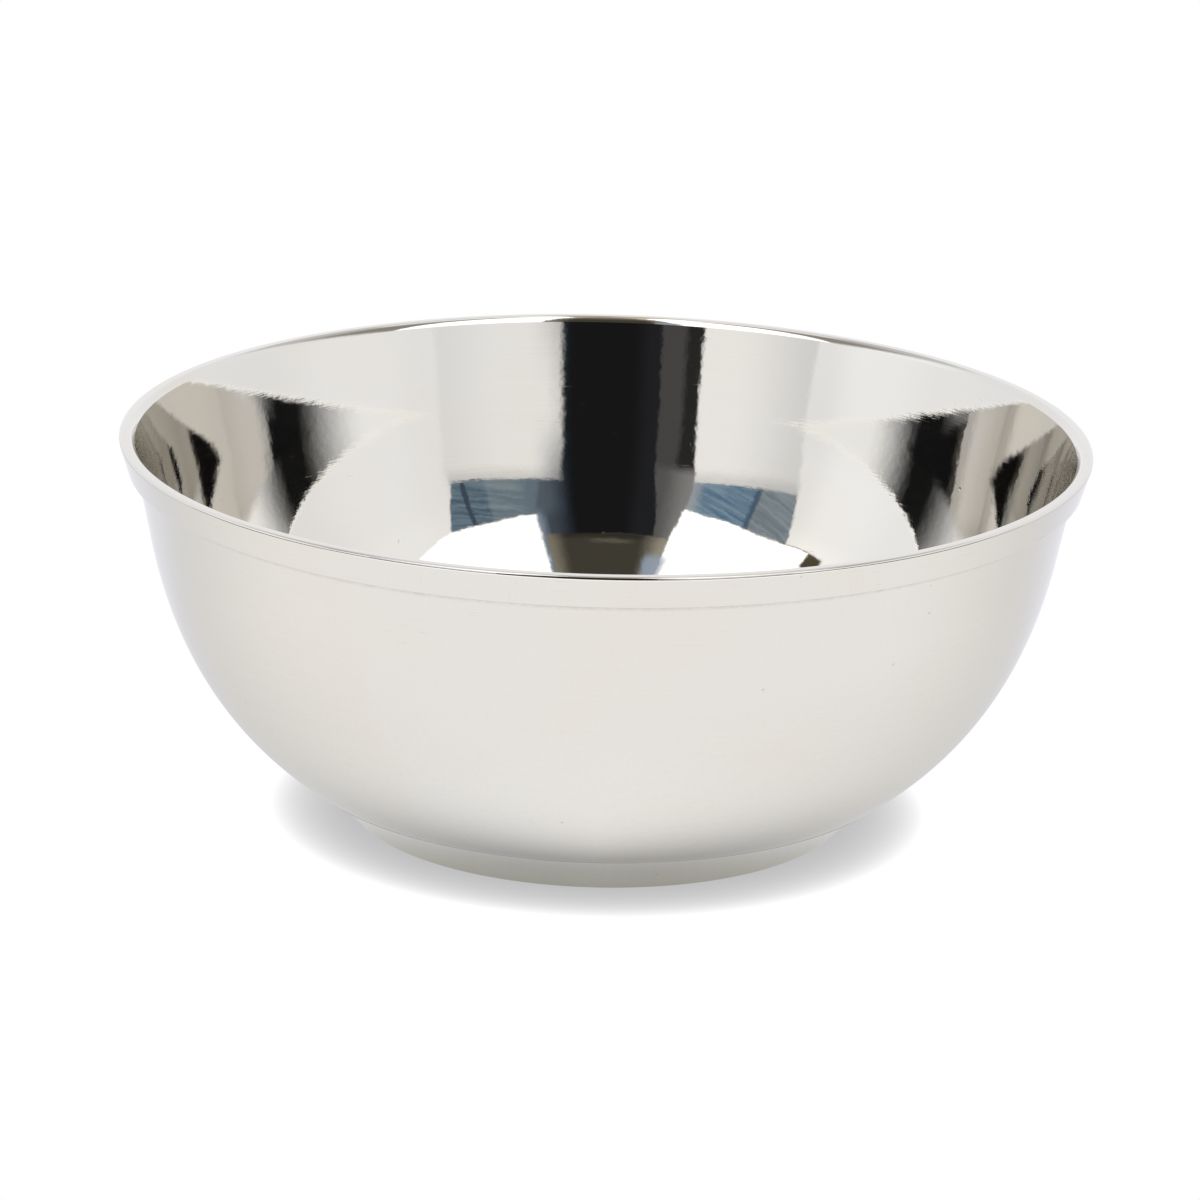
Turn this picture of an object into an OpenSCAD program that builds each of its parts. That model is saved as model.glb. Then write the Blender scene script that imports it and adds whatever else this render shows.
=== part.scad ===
// Offering bowl: a thin polished shell with a band around its lip and a low foot ring.
// Every piece is turned around the upright axis. Lengths are in millimetres.
// The origin is the centre of the foot's underside, and +Z points up.

/* [Bowl] */
// Diameter across the lip, over the band
rim_d = 120; // [104:1:136]
// Height of the lip above the table
bowl_h = 48.2; // [42:0.1:56]
// Thickness of the shell's metal at the lip
wall = 0.6; // [0.4:0.05:1.2]
// Thickness of the shell's metal at the floor; it thins evenly with height above the foot
floor_wall = 1.5; // [0.8:0.05:2]
// Distance from the foot's outer edge in to the edge of the flat floor
floor_inset = 5; // [3:0.1:12]
// Height of the floor's underside above the table
floor_lift = 2; // [1.4:0.1:3]
// Lean of the wall below the rim, in degrees from upright
wall_lean = 10.7; // [5:0.1:13]

/* [Rim] */
// Height over which the wall turns outward below the lip
flare_h = 11.8; // [8:0.1:15]
// Lean of the shell at the lip, in degrees from upright
lip_lean = 14.1; // [13.5:0.1:24]
// Height of the band
band_h = 4; // [3:0.1:6]
// Thickness of the band at the lip
band_t = 1.2; // [0.8:0.05:1.6]
// Lean of the band's outer face, in degrees from upright
band_lean = 17; // [14:0.5:18]
// Radius of the band's rounded upper edge
lip_round = 0.6; // [0.3:0.05:0.7]
// Bevel along the band's lower edge
band_bevel = 0.15; // [0.05:0.05:0.3]

/* [Foot ring] */
// Diameter of the ring where it stands on the table
foot_d = 62; // [58:0.2:68]
// Width of the flat face that it stands on
foot_land = 1.6; // [1:0.1:2.4]
// How far the ring's upper edge stands out past its lower edge
foot_flare = 6.35; // [5:0.05:9]
// Height of that upper edge above the table
foot_h = 5.5; // [4.8:0.1:6.6]
// Thickness of the upper edge
foot_edge = 0.3; // [0.15:0.05:0.5]
// Angle through which the hollow side of the ring turns, in degrees
cove_turn = 16; // [4:1:22]

/* [Solder] */
// Leg of the solder fillet under the rim band
rim_solder_leg = 0.35; // [0.2:0.05:0.6]
// Leg of the solder fillet inside the foot ring
foot_solder_leg = 0.3; // [0.15:0.05:0.5]

/* [Hidden] */
$fn = 180;

rim_r = rim_d / 2;
foot_r = foot_d / 2;
foot_inner_r = foot_r - foot_land;
floor_r = foot_r - floor_inset;
band_low = bowl_h - band_h;

// Lean of the shell where the foot's upper edge meets it, in degrees from level
seat_lean = 34;
// Lengths of the curves' end tangents, as shares of the straight distance between their ends
bottom_shares = [0.4, 0.4];
side_shares = [0.445, 0.235];
// How far a solder fillet is drawn in at its middle, as a share of its leg
fillet_waist_share = 0.32;
// Points along each curve
bottom_steps = 10;
side_steps = 24;
flare_steps = 8;
round_steps = 6;
cove_steps = 12;

white_metal = [0.78, 0.76, 0.73];
solder_grey = [0.68, 0.67, 0.65];

function unit(a) = [cos(a), sin(a)];
function normal(a) = [sin(a), -cos(a)];

// A point of an outline is [radius, height, lean], where lean is the outline's angle from level.
function spot(p, a) = [p[0], p[1], a];
function flat(list) = [for (p = list) [p[0], p[1]]];

// Cubic curve from p to q that leaves at angle a and arrives at angle b
function cubic_at(t, p, u, v, q) =
    pow(1 - t, 3) * p + 3 * t * pow(1 - t, 2) * u + 3 * t * t * (1 - t) * v + t * t * t * q;
function cubic_slope(t, p, u, v, q) =
    pow(1 - t, 2) * (u - p) + 2 * t * (1 - t) * (v - u) + t * t * (q - v);
function blend_curve(p, a, q, b, shares, steps) =
    let (u = p + shares[0] * norm(q - p) * unit(a),
         v = q - shares[1] * norm(q - p) * unit(b))
    [for (i = [0:steps])
        let (d = cubic_slope(i / steps, p, u, v, q))
        spot(cubic_at(i / steps, p, u, v, q), atan2(d[1], d[0]))];

// Arc that turns from angle a to angle b and starts at p
function turn_arc(p, r, a, b, steps) =
    [for (i = [0:steps])
        let (t = a + (b - a) * i / steps)
        spot(p + r * (normal(t) - normal(a)), t)];

// Outline of the shell's outer face, from the floor's edge to the lip
lip_angle = 90 - lip_lean;
wall_angle = 90 - wall_lean;
flare_r = (flare_h - wall) / (cos(lip_angle) - cos(wall_angle));
lip_point = [rim_r - band_t, bowl_h - wall];
flare_point = lip_point - flare_r * (normal(wall_angle) - normal(lip_angle));
seat_point = [foot_r + foot_flare, foot_h];
floor_point = [floor_r, floor_lift];

bottom_curve = blend_curve(floor_point, 0, seat_point, seat_lean, bottom_shares, bottom_steps);
side_curve = blend_curve(seat_point, seat_lean, flare_point, wall_angle, side_shares, side_steps);
flare_curve = turn_arc(flare_point, -flare_r, wall_angle, lip_angle, flare_steps);

function tail(list) = [for (i = [1:len(list) - 1]) list[i]];
function reversed(list) = [for (i = [len(list) - 1:-1:0]) list[i]];

// Thickness of the metal behind the outer face at height z
function metal_at(z) = lookup(z, [[foot_h, floor_wall], [lip_point[1], wall]]);

outer_face = concat(bottom_curve, tail(side_curve), tail(flare_curve));
inner_face = [for (p = outer_face) [p[0], p[1]] - metal_at(p[1]) * normal(p[2])];

// The shell's upper edge: level where the band meets it, rounded towards the inside
outer_lip = lip_point + wall / sin(lip_angle) * unit(lip_angle);
inner_lip = lip_point - wall * normal(lip_angle);
round_leg = (bowl_h - inner_lip[1]) / sin(lip_angle);
round_corner = inner_lip + round_leg * unit(lip_angle);
round_end = round_corner + [round_leg, 0];

// Parabola that rounds the corner c between p and q
function round_curve(p, c, q) =
    [for (i = [0:round_steps])
        let (t = i / round_steps)
        pow(1 - t, 2) * p + 2 * t * (1 - t) * c + t * t * q];

// Everything inside the shell's outer face, which the pieces around it are cut back to
module shell_space() {
    polygon(concat(
        [[0, floor_lift]],
        flat(outer_face),
        [outer_lip, [0, bowl_h]]
    ));
}

module shell_section() {
    polygon(concat(
        [[0, floor_lift]],
        flat(outer_face),
        [outer_lip],
        round_curve(round_end, round_corner, inner_lip),
        tail(reversed(inner_face)),
        [[0, floor_lift + floor_wall]]
    ));
}

// The band: level top flush with the shell's edge, rounded outer edge and a leaning outer face
band_angle = 90 - band_lean;
band_top = [rim_r, bowl_h - lip_round];
band_foot = band_top - (band_h - lip_round) / sin(band_angle) * unit(band_angle);
band_corner = band_top + lip_round / sin(band_angle) * unit(band_angle);
band_round_end = band_corner - [lip_round / sin(band_angle), 0];

module band_section() {
    difference() {
        polygon(concat(
            [[floor_r, bowl_h], [floor_r, band_low]],
            [band_foot - [band_bevel, 0], band_foot + band_bevel * unit(band_angle)],
            round_curve(band_top, band_corner, band_round_end)
        ));
        shell_space();
    }
}

// The foot ring: a hollow outer side from the flat land up to a thin edge on the shell
edge_point = seat_point + foot_edge * normal(seat_lean);
land_point = [foot_r, 0];
cove_rise = edge_point - land_point;
cove_chord = norm(cove_rise);
cove_angle = atan2(cove_rise[1], cove_rise[0]);
cove_r = cove_chord / (2 * sin(cove_turn / 2));
cove_curve = turn_arc(land_point, -cove_r, cove_angle + cove_turn / 2, cove_angle - cove_turn / 2, cove_steps);

module foot_section() {
    difference() {
        polygon(concat(
            [[foot_inner_r, 0]],
            flat(cove_curve),
            [seat_point, [foot_inner_r, foot_h]]
        ));
        shell_space();
    }
}

// Where the outer face crosses a height or a radius, and how it leans there
function at_height(z) = [lookup(z, [for (p = outer_face) [p[1], p[0]]]), z];
function at_radius(r) = [r, lookup(r, [for (p = outer_face) [p[0], p[1]]])];
function lean_at_height(z) = lookup(z, [for (p = outer_face) [p[1], p[2]]]);
function lean_at_radius(r) = lookup(r, [for (p = outer_face) [p[0], p[2]]]);

// Solder fillet in the corner at c, with one leg along direction a and one along direction b of the
// shell's face. It reaches back into a shell that leans by lean, and is cut back to the shell's face.
module fillet_section(c, leg, a, b, lean) {
    waist = leg * fillet_waist_share;
    back = -leg * normal(lean);
    tip = c + leg * b;
    difference() {
        polygon([c + back, c, c + leg * a, c + waist * (a + b), tip, tip + back]);
        shell_space();
    }
}

module bowl_shell() {
    color(white_metal) rotate_extrude() shell_section();
}

module rim_band() {
    color(white_metal) rotate_extrude() band_section();
}

module foot_ring() {
    color(white_metal) rotate_extrude() foot_section();
}

module rim_solder() {
    lean = lean_at_height(band_low);
    color(solder_grey) rotate_extrude()
        fillet_section(at_height(band_low), rim_solder_leg, unit(0), -unit(lean), lean);
}

// The outer fillet fills the step at the ring's upper edge
module foot_solder_outer() {
    color(solder_grey) rotate_extrude()
        fillet_section(seat_point, foot_edge, normal(seat_lean), unit(seat_lean), seat_lean);
}

module foot_solder_inner() {
    lean = lean_at_radius(foot_inner_r);
    color(solder_grey) rotate_extrude()
        fillet_section(at_radius(foot_inner_r), foot_solder_leg, normal(0), -unit(lean), lean);
}

bowl_shell();
rim_band();
foot_ring();
rim_solder();
foot_solder_outer();
foot_solder_inner();
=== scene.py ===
"""Offering bowl of polished white metal on a pale floor.

The bowl is put together as the real one is: a thin shell, a band round its lip, a foot ring,
and the three solder seams that hold them. Lengths are in metres, and +Z is the turning axis.
"""

import bpy
import numpy as np
from mathutils import Matrix


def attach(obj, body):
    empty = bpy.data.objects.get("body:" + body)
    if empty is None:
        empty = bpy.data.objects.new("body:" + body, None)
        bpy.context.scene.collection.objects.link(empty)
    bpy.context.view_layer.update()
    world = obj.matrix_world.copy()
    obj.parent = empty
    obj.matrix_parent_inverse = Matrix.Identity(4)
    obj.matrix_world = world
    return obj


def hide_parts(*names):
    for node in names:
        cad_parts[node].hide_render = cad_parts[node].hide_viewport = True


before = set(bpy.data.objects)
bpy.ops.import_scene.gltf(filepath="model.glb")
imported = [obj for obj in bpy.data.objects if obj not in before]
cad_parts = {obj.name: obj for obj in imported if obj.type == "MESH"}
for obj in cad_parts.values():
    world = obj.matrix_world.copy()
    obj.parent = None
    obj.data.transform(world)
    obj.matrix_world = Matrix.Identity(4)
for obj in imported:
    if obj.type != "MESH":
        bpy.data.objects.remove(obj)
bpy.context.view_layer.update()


# Bowl shell
# One sheet of nickel silver, spun over a form into a deep bowl with a flat floor. It thins from
# 1.5 mm at the floor to 0.6 mm at the lip, and is buffed to a mirror inside and out.

rim_radius = 0.060
bowl_height = 0.0482
lip_sheet = 0.0006
floor_sheet = 0.0015
floor_radius = 0.026
floor_lift = 0.002
floor_rings = 8
seat_radius = 0.03735
seat_height = 0.0055
seat_lean = 34.0
wall_angle = 79.3
lip_angle = 75.9
flare_height = 0.0118
band_height = 0.004
band_thickness = 0.0012
inner_roll = 0.0007
roll_angle = 57.0
white_colour = (0.690, 0.672, 0.645)


def heading(angle):
    """Unit steps (radius, height) along lines that rise at the given angles from level."""
    angle = np.radians(angle)
    return np.stack([np.cos(angle), np.sin(angle)], -1)


def facing(angle):
    """Unit steps square to heading(angle): (sin, -cos), which point out of the bowl's outer face."""
    angle = np.radians(angle)
    return np.stack([np.sin(angle), -np.cos(angle)], -1)


def swept_curve(start, angle, end, end_angle, shares, count):
    """Cubic curve: it leaves start at one angle and reaches end at another, and each end's tangent
    is a share of the straight distance long. Returns the points and their angles from level."""
    span = np.linalg.norm(end - start)
    near = start + shares[0] * span * heading(angle)
    far = end - shares[1] * span * heading(end_angle)
    t = np.linspace(0, 1, count + 1)[:, None]
    points = (1 - t) ** 3 * start + 3 * t * (1 - t) ** 2 * near + 3 * t * t * (1 - t) * far + t ** 3 * end
    ahead = (1 - t) ** 2 * (near - start) + 2 * t * (1 - t) * (far - near) + t * t * (end - far)
    return points, np.degrees(np.arctan2(ahead[:, 1], ahead[:, 0]))


def arc_curve(start, radius, angle, end_angle, count):
    """Arc that turns from one angle to another: start + radius (facing(turned) - facing(angle)).
    Returns the points and their angles from level."""
    turned = np.linspace(angle, end_angle, count + 1)
    return start + radius * (facing(turned) - facing(angle)), turned


def rounded_corner(start, corner, end, count):
    """Parabola from start to end whose tangents meet at the corner."""
    t = np.linspace(0, 1, count + 1)[:, None]
    return (1 - t) ** 2 * start + 2 * t * (1 - t) * corner + t * t * end


def bowl_face(floor_steps, side_steps, flare_steps):
    """Outer face of the shell from the floor's edge to the lip: a cubic curve up to the foot's seat,
    another up the side, and an arc that turns the wall outward under the band. Returns the points
    and their angles from level."""
    lip = np.array([rim_radius - band_thickness, bowl_height - lip_sheet])
    turn = np.cos(np.radians(lip_angle)) - np.cos(np.radians(wall_angle))
    flare = (flare_height - lip_sheet) / turn
    shoulder = lip - flare * (facing(wall_angle) - facing(lip_angle))
    floor_edge = np.array([floor_radius, floor_lift])
    seat = np.array([seat_radius, seat_height])
    low, low_lean = swept_curve(floor_edge, 0, seat, seat_lean, (0.4, 0.4), floor_steps)
    side, side_lean = swept_curve(seat, seat_lean, shoulder, wall_angle, (0.445, 0.235), side_steps)
    top, top_lean = arc_curve(shoulder, -flare, wall_angle, lip_angle, flare_steps)
    return np.vstack([low, side[1:], top[1:]]), np.concatenate([low_lean, side_lean[1:], top_lean[1:]])


def on_grid(*parts):
    """Rows of parts, one row for each point of the outline at each turn. A part that is a column
    changes along the outline, one that is flat changes round the axis, and a table does both."""
    return np.stack(np.broadcast_arrays(*parts), -1).reshape(-1, len(parts))


def turned_piece(name, outline, turns=400, seams=()):
    """Surface of revolution: the outline point (r, z) goes round the axis as (r cos a, r sin a, z).
    An outline that starts and ends on the axis is closed there by a point, and any other is a ring.
    Attributes: 'lay' is (cos a, sin a, metres along the outline), for marks that run round the piece;
    'slant' is the same with a turned further along the outline, for marks that climb; 'seam' is 1 on
    a seam and fades off. Each seam is its radius, its height and the distance over which it fades."""
    climb_rate = 60
    crease_angle = 16
    outline = np.asarray(outline, float)
    poled = outline[0, 0] == 0 and outline[-1, 0] == 0
    rows = outline[1:-1] if poled else outline
    radius, height = rows[:, :1], rows[:, 1:]
    run = np.concatenate([[0], np.cumsum(np.linalg.norm(np.diff(rows, axis=0), axis=1))])[:, None]
    a = np.arange(turns) * 2 * np.pi / turns
    climb = a + climb_rate * run
    points = on_grid(radius * np.cos(a), radius * np.sin(a), height)
    lay = on_grid(np.cos(a), np.sin(a), run)
    slant = on_grid(np.cos(climb), np.sin(climb), run)
    seam = np.zeros(len(rows))
    for seam_radius, seam_height, fade in seams:
        away = np.hypot(rows[:, 0] - seam_radius, rows[:, 1] - seam_height)
        seam = np.maximum(seam, np.exp(-(away / fade) ** 2))
    seam = np.repeat(seam, turns)
    index = np.arange(len(points)).reshape(-1, turns)
    lower, upper = (index[:-1], index[1:]) if poled else (index, np.roll(index, -1, 0))
    quads = [lower, np.roll(lower, -1, 1), np.roll(upper, -1, 1), upper]
    faces = np.stack(quads, -1).reshape(-1, 4).tolist()
    if poled:
        first, last = len(points), len(points) + 1
        points = np.vstack([points, [0, 0, outline[0, 1]], [0, 0, outline[-1, 1]]])
        ends = [[0, 0, 0], [0, 0, run[-1, 0]]]
        lay, slant = np.vstack([lay, ends]), np.vstack([slant, ends])
        seam = np.concatenate([seam, [0, 0]])
        faces += np.stack([np.full(turns, first), np.roll(index[0], -1), index[0]], -1).tolist()
        faces += np.stack([np.full(turns, last), index[-1], np.roll(index[-1], -1)], -1).tolist()
    mesh = bpy.data.meshes.new(name)
    mesh.from_pydata(points, [], faces)
    mesh.polygons.foreach_set("use_smooth", np.ones(len(faces), bool))
    for label, vectors in (("lay", lay), ("slant", slant)):
        attribute = mesh.attributes.new(label, "FLOAT_VECTOR", "POINT")
        attribute.data.foreach_set("vector", vectors.astype(np.float32).ravel())
    mesh.attributes.new("seam", "FLOAT", "POINT").data.foreach_set("value", seam.astype(np.float32))
    mesh.update()
    mesh.set_sharp_from_angle(angle=np.radians(crease_angle))
    piece = bpy.data.objects.new(name, mesh)
    bpy.context.collection.objects.link(piece)
    return piece


class NodeBench:
    """Adds and joins the nodes of one material or of the world."""

    def __init__(self, tree):
        self.tree = tree
        tree.nodes.clear()

    def add(self, kind, sockets=None, **settings):
        """A node with its settings, each socket given a value or joined to another node's output."""
        node = self.tree.nodes.new(kind)
        for key, value in settings.items():
            setattr(node, key, value)
        for key, value in (sockets or {}).items():
            if isinstance(value, bpy.types.NodeSocket):
                self.tree.links.new(value, node.inputs[key])
            else:
                node.inputs[key].default_value = value
        return node

    def sum(self, operation, a, b=0.0, c=0.0):
        """One step of arithmetic."""
        return self.add("ShaderNodeMath", {0: a, 1: b, 2: c}, operation=operation).outputs[0]

    def product(self, first, *others):
        """Several values times each other. Of shares, it is 1 only where all are 1."""
        for value in others:
            first = self.sum("MULTIPLY", first, value)
        return first

    def total(self, first, *others):
        """Several values added up."""
        for value in others:
            first = self.sum("ADD", first, value)
        return first

    def ramp(self, value, low, high, to_low=0.0, to_high=1.0):
        """Runs smoothly from to_low at low to to_high at high, and stays level outside them."""
        return self.add("ShaderNodeMapRange", {0: value, 1: low, 2: high, 3: to_low, 4: to_high},
                        interpolation_type="SMOOTHSTEP").outputs[0]

    def blend(self, share, a, b):
        """Mixes two colours by a share."""
        return self.add("ShaderNodeMix", {0: share, 6: a, 7: b}, data_type="RGBA").outputs[2]

    def scaled(self, vector, scale):
        """A vector or colour with each of its three parts scaled."""
        return self.add("ShaderNodeVectorMath", {0: vector, 1: scale}, operation="MULTIPLY").outputs[0]

    def grey(self, strength):
        """A neutral colour of that strength."""
        return self.add("ShaderNodeCombineColor", {0: strength, 1: strength, 2: strength}).outputs[0]

    def noise(self, vector, scale, detail=2.0, roughness=0.5):
        """Soft noise from 0 to 1 at a scale, in cells per unit of the vector."""
        return self.add("ShaderNodeTexNoise", {"Vector": vector, "Scale": scale, "Detail": detail,
                                               "Roughness": roughness}).outputs["Fac"]


def white_metal(name, colour, gloss, ripple, turning, scuffs, pits, table_shade=0.0):
    """Buffed nickel silver. The colour drifts a little and browns along the seams. Long waves and fine
    ripples from the buffing wheel, lines from turning, slanting hairline scuffs and small pits bend or
    dull the reflections. gloss is the roughness where the metal is smoothest. ripple and turning are
    heights in metres, and grow towards the lip. scuffs and pits are shares. The last argument is
    painted shade: how far the colour yellows and darkens down at the table."""
    material = bpy.data.materials.new(name)
    material.use_nodes = True
    bench = NodeBench(material.node_tree)
    place = bench.add("ShaderNodeTexCoord").outputs["Object"]
    level = bench.add("ShaderNodeSeparateXYZ", {0: place}).outputs[2]
    lay = bench.add("ShaderNodeAttribute", attribute_name="lay").outputs["Vector"]
    slant = bench.add("ShaderNodeAttribute", attribute_name="slant").outputs["Vector"]
    seam = bench.add("ShaderNodeAttribute", attribute_name="seam").outputs["Fac"]

    warm = tuple(c * k for c, k in zip(colour, (1.0, 0.988, 0.968))) + (1.0,)
    cool = tuple(c * k for c, k in zip(colour, (1.0, 1.004, 1.01))) + (1.0,)
    worn = tuple(c * 0.6 for c in colour) + (1.0,)
    brown = (0.33, 0.285, 0.22, 1.0)
    table_shade_colour = (0.50, 0.495, 0.41, 1.0)
    table_shade_top = 0.0048
    scuff_depth = 6e-7
    pit_depth = 2.5e-5

    drift = bench.noise(place, 38.0, detail=3.0, roughness=0.55)
    metal = bench.blend(bench.ramp(drift, 0.38, 0.64), cool, warm)
    stain = bench.noise(place, 900.0, detail=3.0, roughness=0.6)
    browned = bench.product(seam, bench.ramp(stain, 0.3, 0.7, 0.35, 1.0))
    metal = bench.blend(browned, metal, brown)
    # Painted shade: the colour yellows and darkens down towards the table, by the share in the last argument
    metal = bench.blend(bench.ramp(level, 0.0, table_shade_top, table_shade, 0.0), metal, table_shade_colour)

    lines = bench.noise(bench.scaled(lay, (2.2, 2.2, 4200.0)), 1.0, detail=3.0, roughness=0.7)
    climbing = bench.noise(bench.scaled(slant, (16.0, 16.0, 5200.0)), 1.0, detail=1.0)
    straight = bench.noise(bench.scaled(place, (5200.0, 420.0, 900.0)), 1.0, detail=1.0)
    patches = bench.ramp(bench.noise(place, 75.0), 0.45, 0.62)
    scuffed = bench.sum("MAXIMUM", bench.ramp(climbing, 0.70, 0.77), bench.ramp(straight, 0.74, 0.80))
    scuffed = bench.product(scuffed, patches, scuffs)

    cells = bench.add("ShaderNodeTexVoronoi", {"Vector": place, "Scale": 260.0}, feature="F1")
    chance = bench.add("ShaderNodeSeparateColor", {0: cells.outputs["Color"]}).outputs[0]
    pitted = bench.sum("GREATER_THAN", chance, 1.0 - pits)
    hollow = bench.product(bench.ramp(cells.outputs["Distance"], 0.02, 0.07, 1.0, 0.0), pitted)

    marks = bench.sum("MAXIMUM", bench.product(hollow, 0.45), bench.product(scuffed, 0.3))
    metal = bench.blend(marks, metal, worn)
    streaks = bench.ramp(lines, 0.3, 0.7, -1.0, 1.0)
    brushed = bench.sum("MULTIPLY_ADD", streaks, bench.ramp(drift, 0.42, 0.62, 0.002, 0.009), 1.0)
    metal = bench.scaled(metal, bench.grey(brushed))

    rough = bench.ramp(lines, 0.35, 0.75, gloss, gloss * 1.9)
    for mark, dulling in ((scuffed, 0.16), (hollow, 0.2), (browned, 0.25)):
        rough = bench.sum("MULTIPLY_ADD", mark, dulling, rough)

    waves = bench.product(bench.noise(place, 115.0, detail=1.0), ripple * 3.2)
    rippling = bench.ramp(level, 0.018, 0.036, ripple, ripple * 1.7)
    height = bench.sum("MULTIPLY_ADD", bench.noise(place, 620.0), rippling, waves)
    grooves = bench.ramp(level, 0.020, 0.036, turning, turning * 12.0)
    height = bench.sum("MULTIPLY_ADD", lines, grooves, height)
    height = bench.sum("MULTIPLY_ADD", scuffed, -scuff_depth, height)
    height = bench.sum("MULTIPLY_ADD", hollow, -pit_depth, height)
    bump = bench.add("ShaderNodeBump", {"Strength": 1.0, "Distance": 1.0, "Height": height})

    shader = bench.add("ShaderNodeBsdfPrincipled", {"Base Color": metal, "Metallic": 1.0,
                                                    "Roughness": rough, "Normal": bump.outputs[0]})
    bench.add("ShaderNodeOutputMaterial", {"Surface": shader.outputs[0]})
    return material


face, face_lean = bowl_face(16, 72, 16)
sheet = np.interp(face[:, 1], [seat_height, bowl_height - lip_sheet], [floor_sheet, lip_sheet])
inside = face - sheet[:, None] * facing(face_lean)
outer_lip = face[-1] + lip_sheet / np.sin(np.radians(lip_angle)) * heading(lip_angle)
roll_low = bowl_height - inner_roll
inner_lip = np.array([np.interp(roll_low, inside[:, 1], inside[:, 0]), roll_low])
lip_corner = inner_lip + inner_roll / np.sin(np.radians(roll_angle)) * heading(roll_angle)
lip_start = outer_lip - [0.00002, 0]
lip_roll = rounded_corner(lip_start, lip_corner, inner_lip, 16)
inside = inside[inside[:, 1] < roll_low - 0.00001]
floor_under = np.column_stack([np.linspace(0, floor_radius, floor_rings), np.full(floor_rings, floor_lift)])
floor_top = floor_under[::-1] + [0, floor_sheet]
shell_outline = np.vstack([floor_under[:-1], face, [outer_lip], lip_roll, inside[::-1][:-1], floor_top])

band_low = bowl_height - band_height
at_band = np.interp(band_low, face[:, 1], face[:, 0])
mirror = white_metal("mirror_shell", white_colour, gloss=0.022, ripple=4e-6, turning=1.5e-7,
                     scuffs=0.5, pits=0.10)
shell = turned_piece("shell", shell_outline, seams=[(at_band, band_low, 0.00012)])
shell.data.materials.append(mirror)
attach(shell, "root")
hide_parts("bowl_shell")


# Rim band
# A strip of the same metal, 4 mm high and 1.2 mm thick, bent round the outside of the lip and
# soldered on. Its upper edge is rounded over to meet the shell's edge, so the lip feels thick.

band_angle = 73.0
lip_round = 0.0006
band_bevel = 0.00015

band_rise = 1 / np.sin(np.radians(band_angle)) * heading(band_angle)
band_top = np.array([rim_radius, bowl_height - lip_round])
band_foot = band_top - (band_height - lip_round) * band_rise
band_corner = band_top + lip_round * band_rise
band_round_end = band_corner - [lip_round / np.sin(np.radians(band_angle)), 0]
bevel_start = band_foot - [band_bevel, 0]
bevel_end = band_foot + band_bevel * heading(band_angle)
shell_behind = face[face[:, 1] > band_low + 1e-6]
band_outline = np.vstack([
    [at_band, band_low],
    rounded_corner(bevel_start, band_foot, bevel_end, 6),
    np.linspace(bevel_end, band_top, 8)[1:-1],
    rounded_corner(band_top, band_corner, band_round_end, 16),
    [outer_lip],
    shell_behind[::-1],
])
polish = white_metal("polished_band", white_colour, gloss=0.03, ripple=3e-6, turning=1.5e-7,
                     scuffs=0.8, pits=0.22)
band = turned_piece("band", band_outline, turns=480, seams=[(at_band, band_low, 0.0002)])
band.data.materials.append(polish)
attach(band, "root")
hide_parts("rim_band")


# Foot ring
# A low ring, turned from thicker stock. Its hollow side flares up from a flat land, 1.6 mm wide,
# to a thin edge that hugs the shell, and the bowl stands on the land.

foot_radius = 0.031
foot_land = 0.0016
foot_edge = 0.00003
land_edge = 0.00008
cove_turn = 16.0
foot_colour = (0.755, 0.735, 0.68)

foot_inside = foot_radius - foot_land
seat_point = np.array([seat_radius, seat_height])
land = np.array([foot_radius, 0.0])
rise = seat_point + foot_edge * facing(seat_lean) - land
cove_angle = np.degrees(np.arctan2(rise[1], rise[0]))
cove_radius = np.linalg.norm(rise) / (2 * np.sin(np.radians(cove_turn / 2)))
cove = arc_curve(land, -cove_radius, cove_angle + cove_turn / 2, cove_angle - cove_turn / 2, 24)[0]
shell_over = face[(face[:, 0] > foot_inside) & (face[:, 0] < seat_radius - 1e-6)]
inner_top = np.array([foot_inside, np.interp(foot_inside, face[:, 0], face[:, 1])])
land_corner = np.array([foot_inside, 0.0])
foot_outline = np.vstack([
    rounded_corner(land_corner + [0, land_edge], land_corner, land_corner + [land_edge, 0], 4),
    rounded_corner(land - [land_edge, 0], land, cove[1], 5),
    cove[2:],
    [seat_point],
    shell_over[::-1],
    [inner_top],
])
# The foot's colour yellows and darkens towards the table: painted shade
turned_metal = white_metal("turned_foot", foot_colour, gloss=0.07, ripple=3e-6, turning=4e-7,
                           scuffs=0.8, pits=0.15, table_shade=0.6)
foot = turned_piece("foot", foot_outline)
foot.data.materials.append(turned_metal)
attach(foot, "root")
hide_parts("foot_ring")


# Solder seams
# Solder was run into the joints under the band, at the foot's upper edge and inside the foot. What
# stands proud was dressed to a thin fillet, a little greyer and duller than the metal beside it. Down
# at the foot the solder is darkened further with painted shade for the creases there.

band_leg = 0.00035
inner_leg = 0.0003


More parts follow.
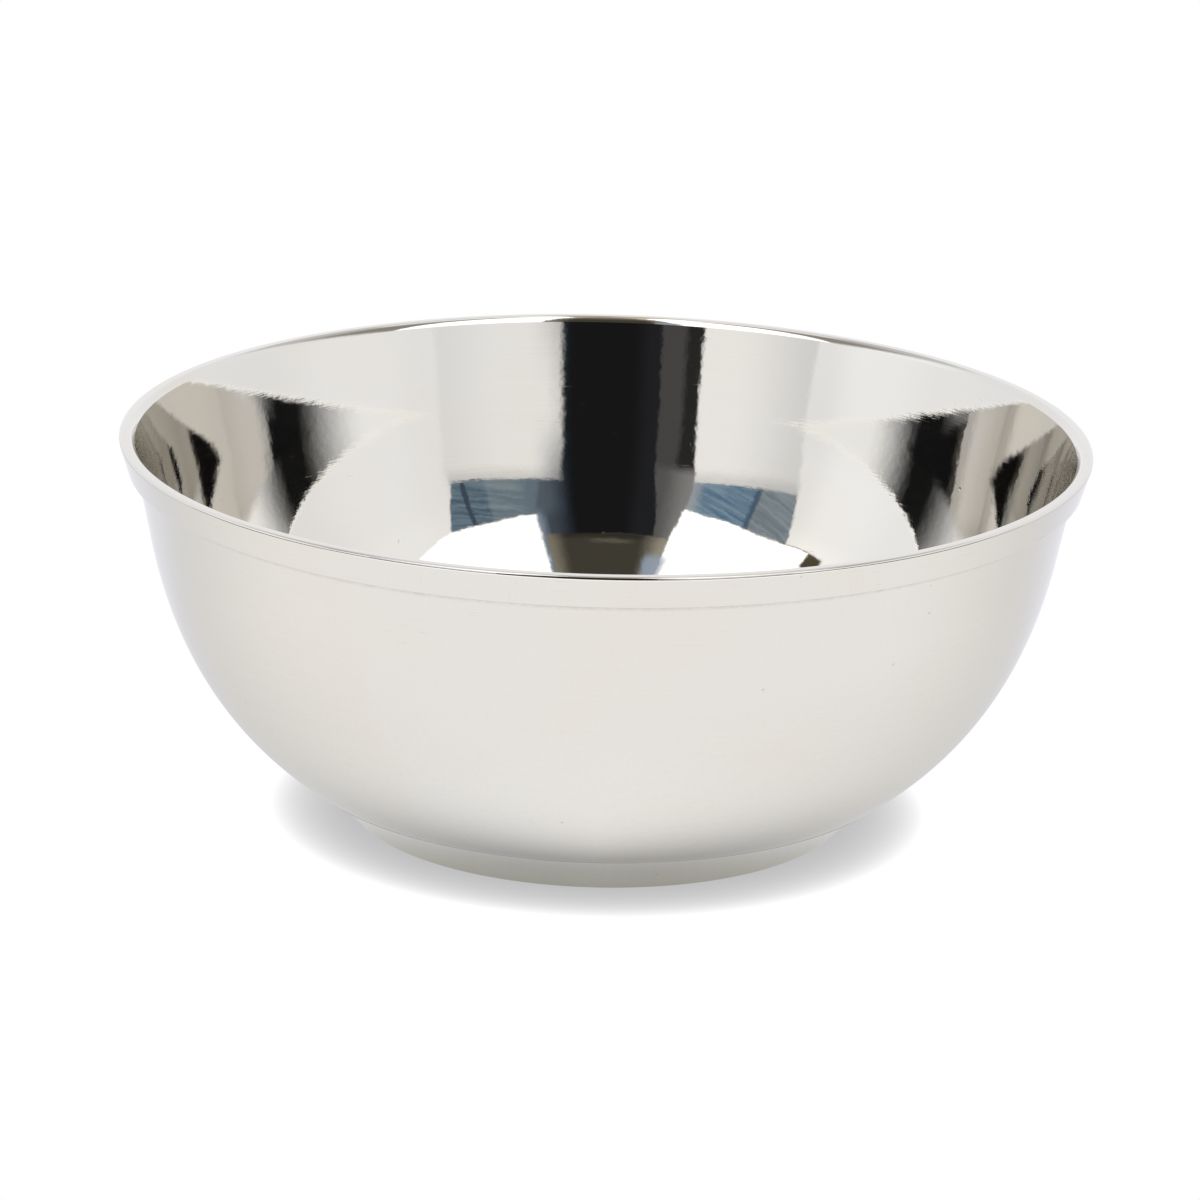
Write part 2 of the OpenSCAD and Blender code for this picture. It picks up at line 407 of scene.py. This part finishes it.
def dressed_solder():
    """Dressed solder with a fine grain. Down at the foot it is darkened with painted shade for its creases.
    """
    material = bpy.data.materials.new("dressed_solder")
    material.use_nodes = True
    bench = NodeBench(material.node_tree)
    place = bench.add("ShaderNodeTexCoord").outputs["Object"]
    level = bench.add("ShaderNodeSeparateXYZ", {0: place}).outputs[2]
    dull = (0.55, 0.53, 0.49, 1.0)
    bright = (0.64, 0.622, 0.595, 1.0)
    crease_shade = (0.13, 0.125, 0.105, 1.0)
    grain = bench.noise(place, 1400.0, detail=4.0, roughness=0.6)
    colour = bench.blend(bench.ramp(grain, 0.35, 0.7), dull, bright)
    # Painted shade: below 20 mm the solder darkens towards near black, for the creases at the foot
    colour = bench.blend(bench.ramp(level, 0.010, 0.020, 0.45, 0.0), colour, crease_shade)
    bump = bench.add("ShaderNodeBump", {"Distance": 1.0, "Height": bench.product(grain, 1.5e-6)})
    rough = bench.ramp(grain, 0.3, 0.7, 0.14, 0.22)
    shader = bench.add("ShaderNodeBsdfPrincipled", {"Base Color": colour, "Metallic": 1.0,
                                                    "Roughness": rough, "Normal": bump.outputs[0]})
    bench.add("ShaderNodeOutputMaterial", {"Surface": shader.outputs[0]})
    return material


def fillet(name, corner, leg, along, up_shell, lean, node):
    """Fillet in a corner: its face is a parabola between the ends of two legs, drawn in towards the
    corner, and its back reaches a little way into the shell that it sticks to. An outline that runs
    clockwise has a negative area, and is turned round."""
    bite, waist = 0.3, 0.14
    back = -bite * leg * facing(lean)
    start, end = corner + leg * along, corner + leg * up_shell
    hollow = rounded_corner(start, corner + waist * leg * (along + up_shell), end, 8)
    outline = np.vstack([corner + back, hollow, end + back])
    after = np.roll(outline, -1, 0)
    twice_area = (outline[:, 0] * after[:, 1] - after[:, 0] * outline[:, 1]).sum()
    piece = turned_piece(name, outline if twice_area > 0 else outline[::-1])
    piece.data.materials.append(solder)
    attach(piece, "root")
    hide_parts(node)


solder = dressed_solder()
under_band = np.array([at_band, band_low])
under_lean = np.interp(band_low, face[:, 1], face_lean)
inner_lean = np.interp(foot_inside, face[:, 0], face_lean)
fillet("seam_under_band", under_band, band_leg, heading(0.0), -heading(under_lean), under_lean, "rim_solder")
fillet("seam_over_foot", seat_point, foot_edge, facing(seat_lean), heading(seat_lean),
       seat_lean, "foot_solder_outer")
fillet("seam_inside_foot", inner_top, inner_leg, facing(0.0), -heading(inner_lean),
       inner_lean, "foot_solder_inner")


# Floor
# A round sheet of matt white paper. To the camera it is white, with the bowl's soft shadow where the
# bowl stands on it. In the metal it glows, with a painted shadow near the foot and behind the bowl and
# painted light further out. It is clear from below.

paper_radius = 0.62
paper_drop = 0.00002
paper_turns = 96
paper_strength = 1.14
shadow_reach = 0.0066

a = np.arange(paper_turns) * 2 * np.pi / paper_turns
floor_mesh = bpy.data.meshes.new("floor")
paper_edge = on_grid(paper_radius * np.cos(a), paper_radius * np.sin(a), -paper_drop)
floor_mesh.from_pydata(paper_edge, [], [list(range(paper_turns))])
floor = bpy.data.objects.new("floor", floor_mesh)
bpy.context.collection.objects.link(floor)
paper = bpy.data.materials.new("white_paper")
paper.use_nodes = True
ground = NodeBench(paper.node_tree)
place = ground.add("ShaderNodeTexCoord").outputs["Object"]
across = ground.add("ShaderNodeSeparateXYZ", {0: place}).outputs[1]
reach = ground.add("ShaderNodeVectorMath", {0: place}, operation="LENGTH").outputs["Value"]


def hill(value, middle, width):
    """exp(-((value - middle) / width)^2)."""
    off = ground.sum("DIVIDE", ground.sum("SUBTRACT", value, middle), width)
    return ground.sum("EXPONENT", ground.product(off, off, -1.0))


# Glow in the metal, with painted light and shade: a little over 1 in front of the bowl, a painted shadow
# round the foot and behind the bowl with a thin painted bright line just outside the foot in front, a
# painted band of more light about 0.19 m out in front, and little beyond that band
behind = ground.sum("MULTIPLY_ADD", ground.sum("DIVIDE", across, reach), 0.5, 0.5)
front = ground.sum("SUBTRACT", 1.0, behind)
widening = ground.sum("MULTIPLY_ADD", ground.sum("SQRT", behind), 0.0096, 0.0083)
painted_foot_shadow = ground.product(hill(reach, 0.030, widening), ground.sum("POWER", front, 3.5), -0.67)
painted_foot_line = ground.product(hill(reach, 0.0313, 0.0013), ground.sum("POWER", front, 5.0), 0.14)
painted_shadow_behind = ground.product(ground.sum("POWER", behind, 0.74), hill(reach, 0.0, 0.057), -0.64)
painted_dimming_back = ground.ramp(across, -0.058, 0.047, 0.0, -0.21)
glow = ground.sum("MAXIMUM", ground.total(painted_foot_shadow, painted_foot_line, painted_shadow_behind, painted_dimming_back, 1.0), 0.22)
painted_light_band = ground.product(hill(reach, 0.19, 0.04), ground.ramp(across, -0.09, -0.13, 0.0, 0.6))
glow = ground.total(ground.product(glow, paper_strength), painted_light_band)
beyond = ground.ramp(across, -0.05, 0.05, 0.13, 0.9)
tooth = ground.ramp(ground.noise(place, 900.0, detail=3.0), 0.3, 0.7, 0.99, 1.01)
glow = ground.product(glow, ground.ramp(reach, 0.22, 0.27, 1.0, beyond), tooth)
# Painted light: the glow turns a little bluer behind the bowl
tint = ground.blend(ground.ramp(behind, 0.5, 0.9), (1.0, 0.996, 0.99, 1.0), (0.99, 1.0, 1.06, 1.0))
in_metal = ground.add("ShaderNodeEmission", {"Color": tint, "Strength": glow}).outputs[0]

# To the camera: white, with the shadow
cover = ground.add("ShaderNodeAmbientOcclusion", {"Distance": shadow_reach}, samples=16).outputs["AO"]
shadow = ground.blend(ground.sum("POWER", cover, 1.6), (0.50, 0.50, 0.51, 1.0), (1.0, 1.0, 1.0, 1.0))
to_camera = ground.add("ShaderNodeEmission", {"Color": shadow}).outputs[0]
seen = ground.add("ShaderNodeLightPath").outputs["Is Camera Ray"]
upper_side = ground.add("ShaderNodeMixShader", {0: seen, 1: in_metal, 2: to_camera}).outputs[0]
clear = ground.add("ShaderNodeBsdfTransparent").outputs[0]
below = ground.add("ShaderNodeNewGeometry").outputs["Backfacing"]
both_sides = ground.add("ShaderNodeMixShader", {0: below, 1: upper_side, 2: clear}).outputs[0]
ground.add("ShaderNodeOutputMaterial", {"Surface": both_sides})
floor.data.materials.append(paper)


# Light
# A white tent with bright cloth above pale walls, two pale cards, bluish daylight over each card, and
# a dark gap between them on the side of the camera. Angles are in degrees: azimuth runs from -Y
# towards +X, and height from level up. A strength of 1 is white.

cloth_light = (1.9, 1.9, 1.9, 1.0)
to_degrees = 180.0 / np.pi

world = bpy.data.worlds.new("tent")
bpy.context.scene.world = world
world.use_nodes = True
tent = NodeBench(world.node_tree)
way = tent.add("ShaderNodeTexCoord").outputs["Generated"]
parts = tent.add("ShaderNodeSeparateXYZ", {0: way})
forward = tent.product(parts.outputs[1], -1.0)
sideways = tent.sum("ABSOLUTE", parts.outputs[0])
azimuth = tent.product(tent.sum("ARCTAN2", parts.outputs[0], forward), to_degrees)
height = tent.product(tent.sum("ARCSINE", parts.outputs[2]), to_degrees)
turned_away = tent.sum("ABSOLUTE", azimuth)
ray = tent.add("ShaderNodeLightPath")


def slope(value, at, level, rate):
    """level + rate (value - at)."""
    return tent.sum("MULTIPLY_ADD", value, rate, level - rate * at)


def over(value, limit, soft=0.5):
    """0 below a limit and 1 above it, with a soft edge."""
    return tent.ramp(tent.sum("SUBTRACT", value, limit), -soft, soft)


def rest(share):
    """What a share leaves of 1."""
    return tent.sum("SUBTRACT", 1.0, share)


def within(value, low, high, soft=0.5):
    """1 between two limits, with soft edges."""
    return tent.product(over(value, low, soft), rest(over(value, high, soft)))


def mix(share, a, b):
    """Mixes two strengths by a share."""
    return tent.add("ShaderNodeMix", {0: share, 2: a, 3: b}).outputs[0]


# Walls and cards, each a little brighter or dimmer from place to place, and shaded under the daylight
tone = tent.product(tent.ramp(azimuth, -95.0, -76.0, 1.19, 1.26), tent.ramp(azimuth, -68.0, -57.0, 1.0, 0.9),
                    tent.ramp(height, 6.0, 14.0, 0.97, 1.0))
left_card = over(azimuth, slope(height, 21.0, -56.3, -0.2), 0.8)
tone = mix(left_card, tone, tent.ramp(azimuth, -56.0, -32.0, 0.93, 1.19))
on_right = over(azimuth, 0.0)
tone = mix(on_right, tone, tent.ramp(azimuth, 26.0, 46.0, 1.14, 1.03))
right_wall = over(azimuth, tent.ramp(height, 12.0, 22.0, 45.0, 46.8), 1.0)
tone = mix(right_wall, tone, tent.ramp(azimuth, 47.0, 64.0, 1.12, 1.17))
upper_tone = tent.ramp(height, 27.0, 36.0, 1.0, tent.ramp(azimuth, -5.0, 5.0, 1.08, 1.03))
tone = tent.product(tone, tent.ramp(azimuth, 72.0, 98.0, 1.0, 0.93), upper_tone)
left_sill = slope(azimuth, -56.5, 21.2, 0.125)
right_sill = slope(azimuth, 15.0, 26.2, -0.103)
over_sill = tent.sum("SUBTRACT", height, mix(on_right, left_sill, right_sill))
shade = tent.product(tent.ramp(over_sill, -4.5, -0.5), within(azimuth, -56.8, 45.5, 0.8))
tone = tent.product(tone, tent.sum("MULTIPLY_ADD", shade, -0.2, 1.0))
round_behind = tent.ramp(turned_away, 95.0, 125.0)
light = tent.blend(round_behind, tent.grey(tone), (1.1, 1.105, 1.125, 1.0))

# Bright cloth above, and dim brown rafters beyond the ends of the walls, fainter behind the bowl
roof_left = tent.sum("MINIMUM", slope(azimuth, -51.0, 35.3, 0.065), slope(azimuth, -51.0, 35.3, -0.078))
roof_right = tent.total(tent.ramp(azimuth, 50.0, 68.0, 37.0, 40.6), tent.ramp(azimuth, 24.0, 38.0, -0.8, 0.0))
roof = mix(on_right, roof_left, roof_right)
along_walls = within(azimuth, -69.0, 67.0, 1.5)
over_roof = tent.product(over(height, roof, 0.45), along_walls)
light = tent.blend(tent.sum("MAXIMUM", over_roof, over(height, 62.0, 1.5)), light, cloth_light)
rafters = tent.product(within(height, 43.0, 80.0, 4.0), rest(along_walls),
                       tent.ramp(turned_away, 80.0, 125.0, 0.9, 0.4))
light = tent.blend(rafters, light, (0.26, 0.235, 0.205, 1.0))

# Streaked daylight over the cards: two tones and a dark bar on each side, and a third tone by the gap
swirl_up = tent.sum("MULTIPLY_ADD", height, 0.8, tent.product(azimuth, 0.22))
swirl = tent.add("ShaderNodeCombineXYZ", {0: tent.product(azimuth, 0.05), 1: swirl_up}).outputs[0]
streak = tent.ramp(tent.noise(swirl, 1.0, detail=3.0, roughness=0.6), 0.35, 0.65)
left_outer = tent.blend(streak, (0.22, 0.28, 0.33, 1.0), (0.34, 0.40, 0.45, 1.0))
left_inner = tent.blend(streak, (0.12, 0.22, 0.35, 1.0), (0.28, 0.40, 0.51, 1.0))
left_pane = tent.blend(over(azimuth, -45.0, 0.8), left_outer, left_inner)
left_pane = tent.blend(within(azimuth, -45.8, -44.2), left_pane, (0.10, 0.15, 0.23, 1.0))
left_pane = tent.blend(tent.ramp(azimuth, -30.0, -26.0), left_pane, (0.42, 0.47, 0.52, 1.0))
left_width = within(azimuth, slope(height, 21.0, -56.5, -0.3), -23.0)
light = tent.blend(tent.product(left_width, within(height, left_sill, roof, 0.4)), light, left_pane)
right_inner = tent.blend(streak, (0.18, 0.25, 0.31, 1.0), (0.30, 0.365, 0.415, 1.0))
right_outer = tent.blend(streak, (0.09, 0.15, 0.215, 1.0), (0.21, 0.29, 0.36, 1.0))
right_pane = tent.blend(over(azimuth, 35.5, 0.8), right_inner, right_outer)
right_pane = tent.blend(within(azimuth, 41.2, 42.6, 0.4), right_pane, (0.06, 0.09, 0.13, 1.0))
right_pane = tent.blend(tent.ramp(azimuth, 27.0, 22.0), right_pane, (0.175, 0.235, 0.295, 1.0))
right_width = within(azimuth, 15.0, slope(height, 23.1, 44.9, 0.42))
light = tent.blend(tent.product(right_width, within(height, right_sill, roof, 0.4)), light, right_pane)

# Inner edge of the right card, and the frames beside the dark gap
low_fade = tent.total(tent.ramp(azimuth, 8.0, 19.0, 0.013, 0.10), tent.ramp(azimuth, 17.5, 22.0, 0.0, 0.3))
right_fade = mix(over(height, 36.0, 3.0), tent.ramp(azimuth, 9.0, 19.0, 0.013, 0.15), low_fade)
right_frame = tent.scaled(tent.grey(right_fade), (0.78, 1.0, 1.3))
card_edge = over(azimuth, tent.ramp(height, 16.0, 24.0, 11.9, 12.7), 0.9)
card_rise = mix(tent.ramp(height, 8.0, 25.0), tent.ramp(azimuth, 11.5, 16.5, 0.8, 1.0),
                tent.ramp(azimuth, 12.0, 21.5, 0.36, 1.0))
right_card = tent.blend(tent.product(card_edge, card_rise), right_frame, tent.grey(tone))
under_sill = rest(over(height, right_sill))
right_side = tent.blend(under_sill, right_frame, right_card)
right_end = mix(under_sill, tent.ramp(height, 26.0, 36.0, 19.5, 21.6), 24.0)
light = tent.blend(within(azimuth, 0.0, right_end, 0.8), light, right_side)
left_frame = mix(over(height, 22.0, 1.5), tent.ramp(azimuth, -21.0, -19.0, 0.028, 0.085),
                 tent.ramp(azimuth, -25.5, -16.0, 0.30, 0.125))
left_limit = tent.total(tent.ramp(height, 7.0, 16.0, -23.8, -24.3),
                        tent.ramp(height, 15.0, 24.0, 0.0, -1.3),
                        tent.ramp(height, 27.0, 47.0, 0.0, 3.5))
light = tent.blend(within(azimuth, left_limit, 0.0, 0.45), light, tent.grey(left_frame))

# Dark gap, with an olive cloth over it that runs on overhead
gap_top = 43.3
gap_left = tent.ramp(height, 18.0, 42.0, -13.7, -16.8)
gap = tent.product(over(azimuth, gap_left, 0.4), tent.ramp(azimuth, 7.0, 12.0, 1.0, 0.0),
                   rest(over(height, gap_top, 0.4)))
gap_light = tent.blend(tent.ramp(azimuth, -6.0, -12.0, 0.0, 0.6), (0.0125, 0.0125, 0.0135, 1.0),
                       (0.026, 0.028, 0.034, 1.0))
light = tent.blend(gap, light, gap_light)
fold = tent.product(within(height, 45.2, 46.6), within(azimuth, -9.0, 4.0, 3.0))
cloth_tone = tent.total(tent.ramp(height, 43.5, 46.0, 0.55, 1.0), tent.ramp(height, 57.0, 88.0, 0.0, 5.0),
                        tent.ramp(azimuth, -22.0, -12.0, 5.0, 0.0), tent.ramp(azimuth, 12.5, 20.5, 0.0, 3.2),
                        fold)
olive_cloth = tent.scaled(tent.grey(cloth_tone), (0.07, 0.065, 0.052))
over_gap = tent.product(within(azimuth, left_limit, 20.0, 0.4), over(height, gap_top, 0.4))
light = tent.blend(over_gap, light, olive_cloth)
overhead = tent.product(tent.ramp(height, 58.0, 64.0), tent.ramp(sideways, 0.07, 0.10, 1.0, 0.0))
light = tent.blend(overhead, light, olive_cloth)

# Glint of daylight at the left end of the olive cloth
glint = tent.product(within(azimuth, -24.0, -15.5, 1.5), within(height, 50.0, 58.0, 2.0), 0.8)
light = tent.blend(glint, light, (0.42, 0.52, 0.68, 1.0))

# Brown batten at the left, where the wall meets the cloth above
batten_end = tent.product(within(azimuth, -75.0, -69.3), within(height, 34.0, 38.5, 0.4))
batten_run = tent.product(within(azimuth, -69.0, -58.0, 0.6),
                          within(height, tent.sum("SUBTRACT", roof, 0.25), roof, 0.15))
light = tent.blend(tent.sum("MAXIMUM", batten_end, batten_run), light, (0.10, 0.085, 0.05, 1.0))

# Light for a ray that has met the metal twice or more. A tent that stands close by looks different from
# across the bowl: the daylight is out of sight, and the gap fades out to both sides
far_left = tent.ramp(azimuth, -49.0, -5.0, 1.76, 0.0)
far_right = tent.ramp(azimuth, 4.0, 37.0, 0.0, 1.76)
high_walls = tent.sum("MAXIMUM", tent.total(far_left, far_right), 0.015)
high_walls = tent.scaled(tent.grey(high_walls), (0.97, 1.0, 1.03))
low_walls = tent.scaled(light, (0.96, 0.945, 0.91))
dull_spots = tent.sum("MAXIMUM", within(azimuth, -31.0, -22.0, 3.0), within(azimuth, -61.0, -53.0, 3.0))
low_walls = tent.blend(tent.product(dull_spots, 0.35), low_walls, (0.3, 0.28, 0.26, 1.0))
low_walls = tent.blend(within(azimuth, -20.0, 11.0, 1.0), low_walls, (0.012, 0.012, 0.013, 1.0))
again = tent.blend(over(height, 22.0, 1.5), low_walls, high_walls)
again = tent.blend(over(height, 41.0, 3.0), again, cloth_light)
again = tent.blend(round_behind, again, light)

# Light for a ray that has met the metal three times or more. Ray Depth is 2 after one meeting, 3 after
# two and 4 or more after that
far_gap = tent.product(within(azimuth, -20.0, 24.0, 3.0), over(height, 15.0, 2.0))
third = tent.blend(far_gap, tent.scaled(again, (0.78, 0.78, 0.76)), (0.012, 0.012, 0.012, 1.0))
light = tent.blend(tent.sum("GREATER_THAN", ray.outputs["Ray Depth"], 2.5), light, again)
light = tent.blend(tent.sum("GREATER_THAN", ray.outputs["Ray Depth"], 3.5), light, third)

# Darkness beyond the edge of the paper
horizon = tent.total(tent.ramp(turned_away, 60.0, 82.0, 3.6, 1.2),
                     tent.ramp(turned_away, 105.0, 130.0, 0.0, -30.0))
light = tent.blend(over(height, horizon, 0.7), (0.15, 0.14, 0.13, 1.0), light)

light = tent.scaled(light, (0.97, 0.97, 0.97))
light = tent.blend(ray.outputs["Is Camera Ray"], light, (1.0, 1.0, 1.0, 1.0))
lit = tent.add("ShaderNodeBackground", {"Color": light, "Strength": 1.0})
tent.add("ShaderNodeOutputWorld", {"Surface": lit.outputs[0]})
bpy.context.scene.view_settings.view_transform = "Standard"
bpy.context.scene.cycles.max_bounces = 24
bpy.context.scene.cycles.glossy_bounces = 24


# Camera
# A long lens, 0.72 m away and looking down at 17 degrees, held with a slight roll.

eye = np.array([0.0, -0.68673, 0.24033])
target = np.array([-0.00028, 0.0, 0.02681])
roll = np.radians(1.442)
ahead = (target - eye) / np.linalg.norm(target - eye)
right = np.cross(ahead, [0, 0, 1])
right /= np.linalg.norm(right)
up = np.cross(right, ahead)
right, up = np.cos(roll) * right + np.sin(roll) * up, -np.sin(roll) * right + np.cos(roll) * up
camera = bpy.data.objects.new("camera", bpy.data.cameras.new("camera"))
bpy.context.collection.objects.link(camera)
pose = np.eye(4)
pose[:3, 0], pose[:3, 1], pose[:3, 2], pose[:3, 3] = right, up, -ahead, eye
camera.matrix_world = Matrix(pose.tolist())
camera.data.lens = 172.98
camera.data.sensor_width = 36.0
camera.data.clip_start, camera.data.clip_end = 0.01, 20.0
bpy.context.scene.camera = camera
